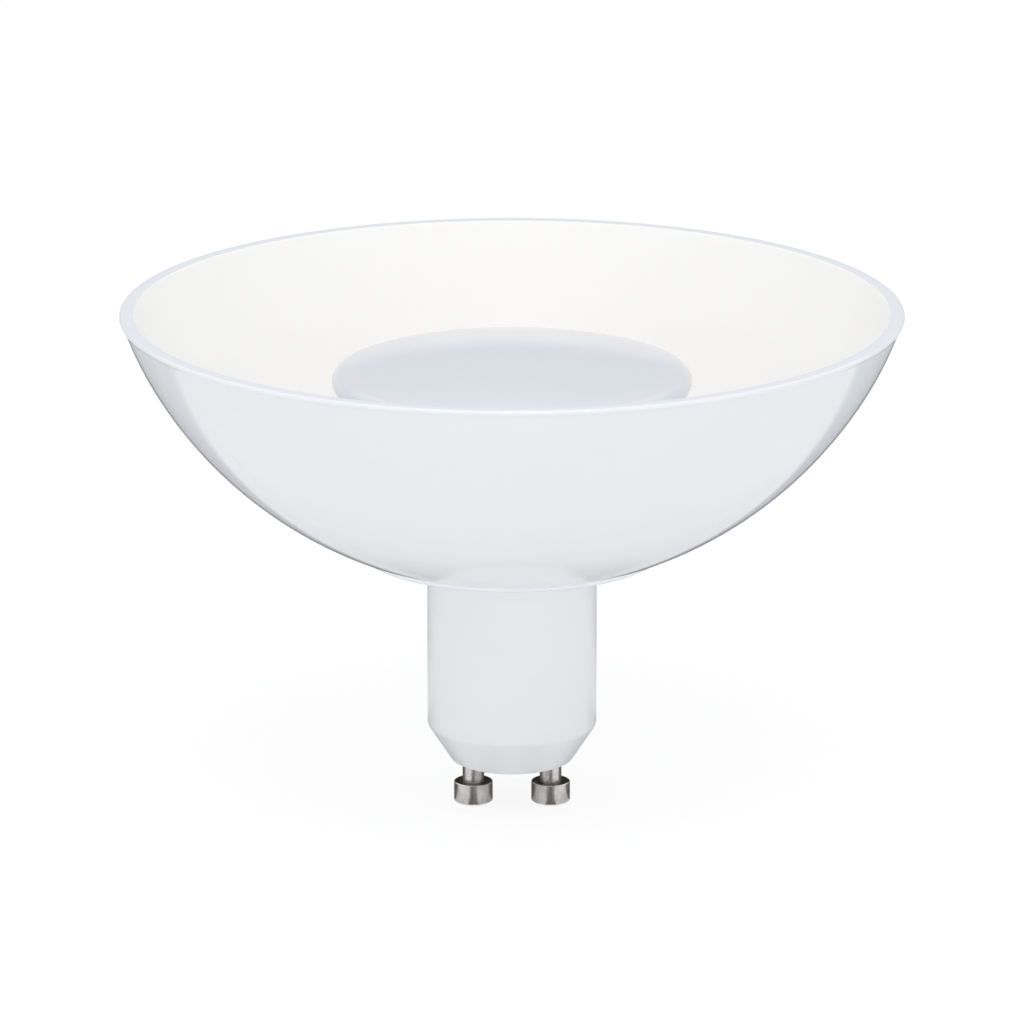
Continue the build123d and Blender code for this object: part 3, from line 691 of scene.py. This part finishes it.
def led_finish(colours):
    """White frames with the yellow phosphor sunk in their windows."""
    finish, tree, shader, skin = new_finish("led_phosphor", moulded_skin(), {"Grain Scale": 9000.0})
    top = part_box("led_chips")[1].z
    sunk = ramp(tree, upright(tree, object_place(tree)), top - 0.0001, top - 0.0002)
    window = both(tree, sunk, ramp(tree, facing_up(tree), 0.6, 0.9))
    tint = blend(tree, window, colours.led_body, colours.phosphor)
    paint(tree, shader, shade(tree, tint, skin["Grain"], 0.08), vary(tree, window, 0.45, 0.3))
    raise_grain(tree, shader, skin["Grain"], 0.00001)
    return finish


def driver_board_finish(colours):
    """Green solder resist with paler tracks running under it."""
    finish, tree, shader, skin = new_finish("board_green", moulded_skin(), {"Grain Scale": 7000.0})
    stood_up = turned_place(tree, (radians(90), 0.0, 0.0))
    bricks = {"Vector": stood_up, "Scale": 160.0, "Mortar Size": 0.06}
    tracks = ramp(tree, put(tree, "ShaderNodeTexBrick", bricks).outputs["Fac"], 0.2, 0.6)
    tint = blend(tree, tracks, colours.driver_board, colours.driver_track)
    paint(tree, shader, shade(tree, tint, skin["Cloud"], 0.1), vary(tree, tracks, 0.38, 0.3))
    raise_grain(tree, shader, tracks, 0.00003)
    return finish


def winding_finish(colours):
    """Enamelled copper wire, laid turn beside turn, with painted shade in the grooves between turns."""
    finish, tree, shader, skin = new_finish("copper_wire", turned_metal())
    shader.inputs["Metallic"].default_value = 0.9
    rows = {"Vector": object_place(tree), "Scale": 900.0}
    turns = put(tree, "ShaderNodeTexWave", rows, bands_direction="Y").outputs["Fac"]
    # Painted shade: the copper is darkened between the turns
    tint = shade(tree, opaque(colours.copper), calculate(tree, "SUBTRACT", 1.0, turns), 0.5)
    paint(tree, shader, shade(tree, tint, skin["Patch"], 0.15), vary(tree, turns, 0.45, 0.25))
    raise_grain(tree, shader, turns, 0.00006)
    return finish


def rim_reach(sizes):
    """Distance from the middle of the bowl's sphere to the middle of the rim's outer round."""
    return (sizes.rim_radius - sizes.rim_outer_round) / cos(sizes.rim_lean)


def bowl_radius(sizes):
    """Outside radius of the bowl's sphere, which the rim stands out of by its lip."""
    return rim_reach(sizes) + sizes.rim_outer_round - sizes.rim_lip


def bowl_middle(sizes):
    """Height of the middle of the bowl's sphere."""
    return sizes.rim_top - sizes.rim_outer_round + rim_reach(sizes) * sin(sizes.rim_lean)


def hub_top(sizes):
    """Height of the flat hub inside the bowl."""
    return sizes.cap_top + sizes.bowl_wall


class LAMP_OT_reflector_bowl(bpy.types.Operator):
    """Turn the thin spherical bowl with its rounded rim"""

    bl_idname = "lamp.reflector_bowl"
    bl_label = "Reflector bowl"

    def execute(self, context):
        sizes = context.scene.lamp_sizes
        middle = bowl_middle(sizes)
        outer = bowl_radius(sizes)
        inner = outer - sizes.bowl_wall
        centre = (0.0, middle)
        soft = sizes.rim_outer_round
        reach = rim_reach(sizes)
        outer_edge = (sizes.rim_radius - soft, sizes.rim_top - soft)
        hollow = sizes.rim_hollow
        arm = soft + hollow
        lip_start = -sizes.rim_lean - acos(((outer + hollow) ** 2 - reach**2 - arm**2) / (2 * reach * arm))
        hollow_edge = (outer_edge[0] + arm * cos(lip_start), outer_edge[1] + arm * sin(lip_start))
        wall_end = -acos(hollow_edge[0] / (outer + hollow))
        fine = sizes.rim_inner_round
        inner_edge_level = sizes.rim_top - fine
        inner_lean = asin((middle - inner_edge_level) / (inner + fine))
        inner_edge = ((inner + fine) * cos(inner_lean), inner_edge_level)

        profile = Profile(sizes.collar_radius, sizes.cap_top)
        profile.arc(centre, outer, -acos(sizes.collar_radius / outer), wall_end, sizes.bowl_steps)
        profile.arc(hollow_edge, hollow, pi + wall_end, pi + lip_start, sizes.round_steps)
        profile.arc(outer_edge, soft, lip_start, pi / 2, 2 * sizes.round_steps)
        profile.arc(inner_edge, fine, pi / 2, pi - inner_lean, sizes.round_steps)
        profile.arc(centre, inner, -inner_lean, -asin((middle - hub_top(sizes)) / inner), sizes.bowl_steps)
        profile.line(sizes.hub_hole_radius, hub_top(sizes))
        profile.line(sizes.hub_hole_radius, sizes.cap_top)
        profile.close()
        scene = context.scene
        finish = bowl_finish(sizes, scene.lamp_colours, scene.lamp_finishes, middle)
        finish_piece("bowl", profile.turned(sizes.turn_steps), finish, "bowl_white", "reflector_bowl")
        return {"FINISHED"}


class LAMP_OT_diffuser_cover(bpy.types.Operator):
    """Turn the opal cover: a low dome, a rounded edge and a skirt"""

    bl_idname = "lamp.diffuser_cover"
    bl_label = "Diffuser cover"

    def execute(self, context):
        sizes = context.scene.lamp_sizes
        soft = sizes.cover_edge_round
        edge = (sizes.cover_radius - soft, sizes.housing_top + soft)
        rise = sizes.cover_top - edge[1]
        dome = (edge[0] ** 2 + rise**2 - soft**2) / (2 * (rise - soft))
        centre = (0.0, sizes.cover_top - dome)
        edge_end = atan2(edge[1] - centre[1], edge[0])
        skirt_inside = sizes.skirt_radius - sizes.skirt_wall
        hollow = dome - sizes.cover_wall
        hollow_end = acos(skirt_inside / hollow)

        profile = Profile(0.0, sizes.cover_top)
        profile.arc(centre, dome, pi / 2, edge_end, sizes.bowl_steps)
        profile.arc(edge, soft, edge_end, -pi / 2, 3 * sizes.round_steps)
        profile.line(sizes.skirt_radius, sizes.housing_top)
        profile.line(sizes.skirt_radius, sizes.skirt_end)
        profile.line(skirt_inside, sizes.skirt_end)
        profile.arc(centre, hollow, hollow_end, pi / 2, sizes.round_steps)
        scene = context.scene
        finish = cover_finish(sizes, scene.lamp_colours, scene.lamp_finishes)
        finish_piece("cover", profile.turned(sizes.turn_steps), finish, "opal_plastic", "diffuser_cover")
        return {"FINISHED"}


class LAMP_OT_base_cap(bpy.types.Operator):
    """Turn the plain neck with its collar and its bevelled end, hollow inside with two bosses"""

    bl_idname = "lamp.base_cap"
    bl_label = "Base cap"

    def execute(self, context):
        sizes = context.scene.lamp_sizes
        wall = sizes.cap_wall
        slope = atan2(sizes.bevel_height, sizes.neck_radius - sizes.end_radius)
        end_run = sizes.end_round * tan(slope / 2)
        bevel_run = sizes.bevel_round * tan((pi / 2 - slope) / 2)
        end_edge = (sizes.end_radius - end_run, sizes.end_round)
        bevel_edge = (sizes.neck_radius - sizes.bevel_round, sizes.bevel_height + bevel_run)
        collar_bottom = sizes.cap_top - sizes.collar_thickness
        collar_edge = (sizes.neck_radius + sizes.collar_round, collar_bottom - sizes.collar_round)
        inside = sizes.neck_radius - wall
        lean = (sizes.neck_radius - sizes.end_radius) / sizes.bevel_height
        floor_radius = sizes.end_radius + wall * lean - wall / sin(slope)
        floor_edge = (inside - sizes.end_radius + wall / sin(slope)) / lean

        profile = Profile(0.0, 0.0)
        profile.arc(end_edge, sizes.end_round, -pi / 2, slope - pi / 2, sizes.round_steps)
        profile.arc(bevel_edge, sizes.bevel_round, slope - pi / 2, 0.0, sizes.round_steps)
        profile.arc(collar_edge, sizes.collar_round, pi, pi / 2, sizes.round_steps)
        profile.line(sizes.collar_radius, collar_bottom)
        profile.line(sizes.collar_radius, sizes.cap_top)
        profile.line(inside, sizes.cap_top)
        profile.line(inside, floor_edge)
        profile.line(floor_radius, wall)
        profile.line(0.0, wall)
        mesh = profile.turned(sizes.turn_steps)
        for side in (-1, 1):
            boss = bmesh.ops.create_cone(
                mesh,
                cap_ends=True,
                segments=sizes.boss_steps,
                radius1=sizes.boss_radius,
                radius2=sizes.boss_radius,
                depth=sizes.boss_height,
            )
            lift = (side * sizes.pin_place, 0.0, wall + sizes.boss_height / 2)
            bmesh.ops.translate(mesh, verts=boss["verts"], vec=lift)
        scene = context.scene
        finish = neck_finish(sizes, scene.lamp_colours, scene.lamp_finishes)
        finish_piece("neck", mesh, finish, "neck_white", "base_cap")
        return {"FINISHED"}


class LAMP_OT_contact_pins(bpy.types.Operator):
    """Turn the two headed contact pins"""

    bl_idname = "lamp.contact_pins"
    bl_label = "Contact pins"

    def execute(self, context):
        scene = context.scene
        sizes = scene.lamp_sizes
        finish = nickel_finish(sizes, scene.lamp_colours, scene.lamp_finishes)
        for name, side in (("left", -1), ("right", 1)):
            mesh = self.pin(sizes, side * sizes.pin_place)
            finish_piece("pin_" + name, mesh, finish, "nickel", "contact_pin_" + name)
        return {"FINISHED"}

    def pin(self, sizes, place):
        """One pin: a head with softened edges, a shank, and a tail riveted over its boss."""
        foot = sizes.pin_foot_chamfer
        cut = sizes.pin_head_chamfer
        head_top = sizes.pin_head_bottom + sizes.pin_head_height
        rivet_bottom = sizes.pin_rivet_top - sizes.pin_rivet_height
        cup_bottom = sizes.pin_rivet_top - sizes.pin_cup_depth
        side = sizes.pin_head_radius
        profile = Profile(0.0, sizes.pin_head_bottom)
        profile.line(side - foot, sizes.pin_head_bottom)
        profile.line(side, sizes.pin_head_bottom + foot)
        profile.line(side, head_top - cut)
        profile.line(side - cut, head_top)
        profile.line(sizes.pin_shank_radius, head_top)
        profile.line(sizes.pin_shank_radius, 0.0)
        profile.line(sizes.pin_tail_radius, 0.0)
        profile.line(sizes.pin_tail_radius, rivet_bottom)
        profile.line(sizes.pin_rivet_radius, rivet_bottom)
        profile.line(sizes.pin_rivet_radius, sizes.pin_rivet_top)
        profile.line(sizes.pin_cup_radius, sizes.pin_rivet_top)
        profile.line(sizes.pin_cup_radius, cup_bottom)
        profile.line(0.0, cup_bottom)
        return profile.turned(sizes.turn_steps // 2, place)


class LAMP_OT_lamp_housing(bpy.types.Operator):
    """Turn the flared housing under the cover, with the tail that clamps the bowl"""

    bl_idname = "lamp.lamp_housing"
    bl_label = "Lamp housing"

    def execute(self, context):
        sizes = context.scene.lamp_sizes
        seat = hub_top(sizes)
        foot_top = seat + sizes.foot_height
        flare_top = sizes.housing_top - sizes.housing_rim_height
        slope = atan2(flare_top - foot_top, sizes.housing_rim_radius - sizes.foot_radius)
        run = sizes.flare_round * tan((pi / 2 - slope) / 2)
        flare_edge = (sizes.housing_rim_radius - sizes.flare_round, flare_top + run)
        bore = sizes.housing_rim_radius - sizes.housing_wall
        floor = seat + sizes.housing_wall
        inset = sizes.housing_wall / sin(slope)
        bore_bottom = foot_top + (bore + inset - sizes.foot_radius) * tan(slope)
        floor_radius = sizes.foot_radius + (floor - foot_top) / tan(slope) - inset
        tail_inside = sizes.tail_radius - sizes.tail_wall

        profile = Profile(tail_inside, sizes.tail_end)
        profile.line(sizes.tail_radius, sizes.tail_end)
        profile.line(sizes.tail_radius, seat)
        profile.line(sizes.foot_radius, seat)
        profile.line(sizes.foot_radius, foot_top)
        profile.arc(flare_edge, sizes.flare_round, slope - pi / 2, 0.0, sizes.round_steps)
        profile.line(sizes.housing_rim_radius, sizes.housing_top)
        profile.line(bore, sizes.housing_top)
        profile.line(bore, bore_bottom)
        profile.line(floor_radius, floor)
        profile.line(tail_inside, floor)
        profile.close()
        finish = plain_moulding("housing_white", context.scene.lamp_colours.housing, 0.42, 0.03, 0.000006)
        finish_piece("housing", profile.turned(sizes.turn_steps), finish, "housing_white", "lamp_housing")
        return {"FINISHED"}


class LAMP_OT_light_engine(bpy.types.Operator):
    """Finish the heat sink, the LED board, its chips and its screws"""

    bl_idname = "lamp.light_engine"
    bl_label = "Light engine"

    def execute(self, context):
        colours = context.scene.lamp_colours
        dress("heat_sink", plain_metal("bare_aluminium", colours.aluminium, 0.42))
        dress("led_board", plain_moulding("board_white", colours.led_board, 0.4, 0.05))
        dress("led_chips", led_finish(colours))
        dress("board_screws", plain_metal("zinc_steel", colours.zinc, 0.32))
        return {"FINISHED"}


class LAMP_OT_driver(bpy.types.Operator):
    """Finish the driver board, its components and the leads"""

    bl_idname = "lamp.driver"
    bl_label = "Driver and leads"

    def execute(self, context):
        colours = context.scene.lamp_colours
        package = plain_moulding("package_black", colours.package, 0.55, 0.25, 0.00002)
        pin_lead = plain_moulding("lead_white", colours.lead_white, 0.45)
        dress("driver_board", driver_board_finish(colours))
        dress("fuse_resistor", plain_moulding("resistor_coat", colours.resistor, 0.5, 0.2, 0.00003))
        dress("film_capacitor", plain_moulding("film_resin", colours.film, 0.4, 0.15))
        dress("inductor_core", plain_moulding("ferrite", colours.ferrite, 0.6, 0.3, 0.00003))
        dress("inductor_winding", winding_finish(colours))
        dress("smoothing_capacitor", plain_moulding("capacitor_sleeve", colours.sleeve, 0.25, 0.15))
        dress("bridge_rectifier", package)
        dress("driver_chip", package)
        dress("live_lead", pin_lead)
        dress("neutral_lead", pin_lead)
        dress("led_positive_lead", plain_moulding("lead_red", colours.lead_red, 0.4, 0.15))
        dress("led_negative_lead", plain_moulding("lead_black", colours.lead_black, 0.4, 0.15))
        return {"FINISHED"}


def stage_piece(name, mesh, finish):
    """Make a stage object of a mesh."""
    piece = new_object(name, mesh, finish)
    return piece


def only_in_gloss(piece):
    """Hide a stage piece from all but the reflections in glossy surfaces."""
    piece.visible_camera = False
    piece.visible_diffuse = False
    piece.visible_transmission = False
    piece.visible_shadow = False


def oblong(width, depth):
    """A flat face round the origin."""
    mesh = bmesh.new()
    bmesh.ops.create_grid(mesh, x_segments=1, y_segments=1, size=0.5)
    bmesh.ops.scale(mesh, verts=mesh.verts, vec=(width, depth, 1.0))
    return mesh


def flat_card(name, low, high, level, finish):
    """A flat stage piece between two corners."""
    mesh = oblong(high[0] - low[0], high[1] - low[1])
    middle = ((low[0] + high[0]) / 2, (low[1] + high[1]) / 2, level)
    bmesh.ops.translate(mesh, verts=mesh.verts, vec=middle)
    return stage_piece(name, mesh, finish)


def upright_card(name, place, width, rise, level, finish):
    """An upright stage piece behind the lamp, which only glossy surfaces see."""
    mesh = oblong(width, rise)
    bmesh.ops.rotate(mesh, verts=mesh.verts, matrix=Matrix.Rotation(pi / 2, 3, "X"))
    bmesh.ops.translate(mesh, verts=mesh.verts, vec=(0.0, place, level + rise / 2))
    only_in_gloss(stage_piece(name, mesh, finish))


def stage_finish(name):
    """A finish with no shader in it yet."""
    finish = bpy.data.materials.new(name)
    finish.use_nodes = True
    tree = finish.node_tree
    tree.nodes.remove(tree.nodes["Principled BSDF"])
    return finish, tree


def mix_shaders(tree, share_of_second, first, second):
    """Mix two shaders."""
    return put(tree, "ShaderNodeMixShader", {0: share_of_second, 1: first, 2: second}).outputs[0]


def floor_finish(settings):
    """White paper, near white to the camera, and unseen from below and by the gloss close on it."""
    finish, tree = stage_finish("stage_floor")
    paper = put(tree, "ShaderNodeBsdfDiffuse", {"Color": opaque(settings.floor_colour)}).outputs[0]
    glare = {"Color": (1.0, 1.0, 1.0, 1.0), "Strength": settings.floor_white}
    white = put(tree, "ShaderNodeEmission", glare).outputs[0]
    clear = put(tree, "ShaderNodeBsdfTransparent").outputs[0]
    path = put(tree, "ShaderNodeLightPath").outputs
    glow = calculate(tree, "MULTIPLY", path["Is Camera Ray"], settings.floor_glow)
    lit = mix_shaders(tree, glow, paper, white)
    close = calculate(tree, "LESS_THAN", path["Ray Length"], settings.floor_clear)
    close = both(tree, close, path["Is Glossy Ray"])
    under = put(tree, "ShaderNodeNewGeometry").outputs["Backfacing"]
    shown = mix_shaders(tree, calculate(tree, "MAXIMUM", close, under), lit, clear)
    feed(tree, tree.nodes["Material Output"].inputs["Surface"], shown)
    return finish


def show_card(tree, tint, cover):
    """Let a card shine with a colour as far as it covers what lies behind it."""
    clear = put(tree, "ShaderNodeBsdfTransparent").outputs[0]
    grey = put(tree, "ShaderNodeEmission", {"Color": opaque(tint), "Strength": 1.0}).outputs[0]
    shown = mix_shaders(tree, cover, clear, grey)
    feed(tree, tree.nodes["Material Output"].inputs["Surface"], shown)


def grey_card_finish(settings):
    """A haze up to the card's near edge, and the card, paler far off and dark in a fan behind the lamp."""
    finish, tree = stage_finish("stage_card")
    turned = turned_place(tree, (0.0, 0.0, settings.card_turn))
    depth = put(tree, "ShaderNodeSeparateXYZ", {0: turned}).outputs["Y"]
    start = settings.card_near
    full = start + settings.card_soft
    haze = ramp(tree, depth, 0.0, start, 0.0, settings.card_haze)
    edge = ramp(tree, depth, start, start + settings.card_sharp, 0.0, settings.card_step)
    rest = 1.0 - settings.card_haze - settings.card_step
    rise = ramp(tree, depth, start, full, 0.0, rest, smooth=True)
    cover = calculate(tree, "ADD", calculate(tree, "ADD", haze, edge), rise)
    distance = ramp(tree, depth, full, settings.card_far)
    tint = blend(tree, distance, settings.card_near_colour, settings.card_far_colour)
    parts = put(tree, "ShaderNodeSeparateXYZ", {0: object_place(tree)}).outputs
    slant = calculate(tree, "DIVIDE", calculate(tree, "ABSOLUTE", parts["X"]), parts["Y"])
    spread = tan(settings.card_fan)
    fan = ramp(tree, slant, spread, settings.card_fan_core * spread, smooth=True)
    show_card(tree, blend(tree, fan, tint, settings.card_fan_colour), cover)
    return finish


def shade_finish(settings):
    """A painted shadow of the lamp on the floor: a dark patch that fades out to its edge."""
    finish, tree = stage_finish("stage_shade")
    reach = reach_from(tree, (0.0, settings.shade_place, 0.0), flat=True)
    limits = (settings.shade_core, settings.shade_radius)
    show_card(tree, settings.shade_colour, ramp(tree, reach, *limits, settings.shade_depth, 0.0, smooth=True))
    return finish


def flag_finish(settings):
    """Dark to the gloss of the pins close by, and not there for anything farther off."""
    finish, tree = stage_finish("stage_flag")
    path = put(tree, "ShaderNodeLightPath").outputs["Ray Length"]
    show_card(tree, settings.flag_colour, calculate(tree, "LESS_THAN", path, settings.flag_range))
    return finish


def screen_finish(settings):
    """Plain grey."""
    finish, tree = stage_finish("stage_screen")
    show_card(tree, settings.screen_colour, 1.0)
    return finish


def light_world(scene, settings):
    """White where the camera, gloss and clear material look, and an even fill for all else."""
    world = bpy.data.worlds.new("stage_world")
    world.use_nodes = True
    scene.world = world
    tree = world.node_tree
    fill = tree.nodes["Background"]
    fill.inputs["Color"].default_value = opaque(settings.fill_colour)
    fill.inputs["Strength"].default_value = settings.fill_strength
    white = put(tree, "ShaderNodeBackground", {"Color": (1.0, 1.0, 1.0, 1.0), "Strength": 1.0}).outputs[0]
    path = put(tree, "ShaderNodeLightPath").outputs
    seen = calculate(tree, "MAXIMUM", path["Is Camera Ray"], path["Is Glossy Ray"])
    seen = calculate(tree, "MAXIMUM", seen, path["Is Transmission Ray"])
    shown = mix_shaders(tree, seen, fill.outputs[0], white)
    feed(tree, tree.nodes["World Output"].inputs["Surface"], shown)


def soft_light(scene, name, place, aim, width, rise, power, tint):
    """An oblong soft light that points at a place."""
    data = bpy.data.lights.new(name, "AREA")
    data.shape = "RECTANGLE"
    data.size = width
    data.size_y = rise
    data.energy = power
    data.color = tint
    light = bpy.data.objects.new(name, data)
    light.location = place
    light.rotation_euler = (Vector(aim) - Vector(place)).to_track_quat("-Z", "Y").to_euler()
    scene.collection.objects.link(light)
    return light


class LAMP_OT_stage(bpy.types.Operator):
    """Set out the floor, the cards, the light and the camera"""

    bl_idname = "lamp.stage"
    bl_label = "Stage"

    def execute(self, context):
        scene = context.scene
        settings = scene.lamp_stage
        level = CAD_BOX[0][2] - settings.floor_gap
        half = settings.floor_size / 2
        flat_card("stage_floor", (-half, -half), (half, half), level, floor_finish(settings))
        self.place_cards(settings, level)
        self.place_flags(context.scene.lamp_sizes, settings, level)
        light_world(scene, settings)
        overhead = (0.0, -settings.top_forward, settings.top_height)
        soft_light(
            scene,
            "top_light",
            overhead,
            (0.0, 0.0, 0.0),
            settings.top_size,
            settings.top_size,
            settings.top_power,
            settings.top_colour,
        )
        reach = settings.side_distance * cos(settings.side_elevation)
        rise = settings.side_distance * sin(settings.side_elevation)
        aim = (0.0, 0.0, settings.camera_level)
        for name, side in (("left", -1), ("right", 1)):
            place = (
                side * reach * sin(settings.side_angle),
                -reach * cos(settings.side_angle),
                settings.camera_level + rise,
            )
            soft_light(
                scene,
                "light_" + name,
                place,
                aim,
                settings.side_width,
                settings.side_height,
                settings.side_power,
                settings.side_colour,
            )
        self.place_camera(scene, settings)
        scene.view_settings.view_transform = "Standard"
        return {"FINISHED"}

    def place_cards(self, settings, level):
        """Lay the grey card and the dark patch on the floor behind the lamp, and hang up the screen."""
        half = settings.card_width / 2
        low = (-half, 0.0)
        high = (half, settings.card_far)
        lift = level + settings.card_lift
        only_in_gloss(flat_card("stage_card", low, high, lift, grey_card_finish(settings)))
        radius = settings.shade_radius
        low = (-radius, settings.shade_place - radius)
        high = (radius, settings.shade_place + radius)
        lift += settings.card_lift
        only_in_gloss(flat_card("stage_shade", low, high, lift, shade_finish(settings)))
        grey = screen_finish(settings)
        size = (settings.screen_width, settings.screen_height)
        upright_card("stage_screen", settings.screen_distance, *size, level, grey)

    def place_flags(self, sizes, settings, level):
        """Stand a dark flag behind the pins, and lay flags on the floor behind them and in front of each."""
        dark = flag_finish(settings)
        reach = settings.flag_reach
        half = settings.flag_width / 2
        lift = level + 3 * settings.card_lift
        size = (settings.flag_width, settings.flag_height)
        upright_card("stage_flag_upright", settings.flag_place, *size, level, dark)
        only_in_gloss(flat_card("stage_flag_back", (-half, 0.0), (half, reach), lift, dark))
        for name, side in (("left", -1), ("right", 1)):
            mesh = bmesh.new()
            made = bmesh.ops.create_circle(mesh, cap_ends=True, segments=3, radius=1.0)["verts"]
            # A triangle in a circle of radius 1 is 1.5 high, and half of its base is the sine of 60 degrees
            long = reach / 1.5
            wide = reach * tan(settings.flag_spread) / sin(pi / 3)
            bmesh.ops.scale(mesh, verts=made, vec=(wide, long, 1.0))
            bmesh.ops.translate(mesh, verts=made, vec=(side * sizes.pin_place, -long, lift))
            only_in_gloss(stage_piece("stage_flag_" + name, mesh, dark))

    def place_camera(self, scene, settings):
        """Stand the camera in front of the lamp, at the photograph's angle."""
        data = bpy.data.cameras.new("camera")
        data.lens = settings.camera_lens
        data.sensor_width = 36.0
        data.clip_end = 100.0
        camera = bpy.data.objects.new("camera", data)
        rise = settings.camera_elevation
        camera.location = (
            0.0,
            -settings.camera_distance * cos(rise),
            settings.camera_level + settings.camera_distance * sin(rise),
        )
        camera.rotation_euler = (pi / 2 - rise + settings.camera_tilt, 0.0, 0.0)
        scene.collection.objects.link(camera)
        scene.camera = camera


PIECE_OPERATORS = (
    LAMP_OT_reflector_bowl,
    LAMP_OT_diffuser_cover,
    LAMP_OT_base_cap,
    LAMP_OT_contact_pins,
    LAMP_OT_lamp_housing,
    LAMP_OT_light_engine,
    LAMP_OT_driver,
    LAMP_OT_stage,
)


class LAMP_PT_pieces(bpy.types.Panel):
    """Lists the lamp's pieces and the stage"""

    bl_idname = "LAMP_PT_pieces"
    bl_label = "LED spot bulb"
    bl_space_type = "VIEW_3D"
    bl_region_type = "UI"
    bl_category = "Lamp"

    def draw(self, context):
        for operator in PIECE_OPERATORS:
            self.layout.operator(operator.bl_idname)


SETTINGS = (LampSizes, LampColours, LampFinishes, StageSettings)
CLASSES = SETTINGS + PIECE_OPERATORS + (LAMP_PT_pieces,)


def register():
    for item in CLASSES:
        bpy.utils.register_class(item)
    bpy.types.Scene.lamp_sizes = PointerProperty(type=LampSizes)
    bpy.types.Scene.lamp_colours = PointerProperty(type=LampColours)
    bpy.types.Scene.lamp_finishes = PointerProperty(type=LampFinishes)
    bpy.types.Scene.lamp_stage = PointerProperty(type=StageSettings)


def unregister():
    del bpy.types.Scene.lamp_stage
    del bpy.types.Scene.lamp_finishes
    del bpy.types.Scene.lamp_colours
    del bpy.types.Scene.lamp_sizes
    for item in reversed(CLASSES):
        bpy.utils.unregister_class(item)


def main():
    """Make every piece and the stage."""
    register()
    bpy.ops.lamp.reflector_bowl()
    bpy.ops.lamp.diffuser_cover()
    bpy.ops.lamp.base_cap()
    bpy.ops.lamp.contact_pins()
    bpy.ops.lamp.lamp_housing()
    bpy.ops.lamp.light_engine()
    bpy.ops.lamp.driver()
    bpy.ops.lamp.stage()


if __name__ == "__main__":
    main()
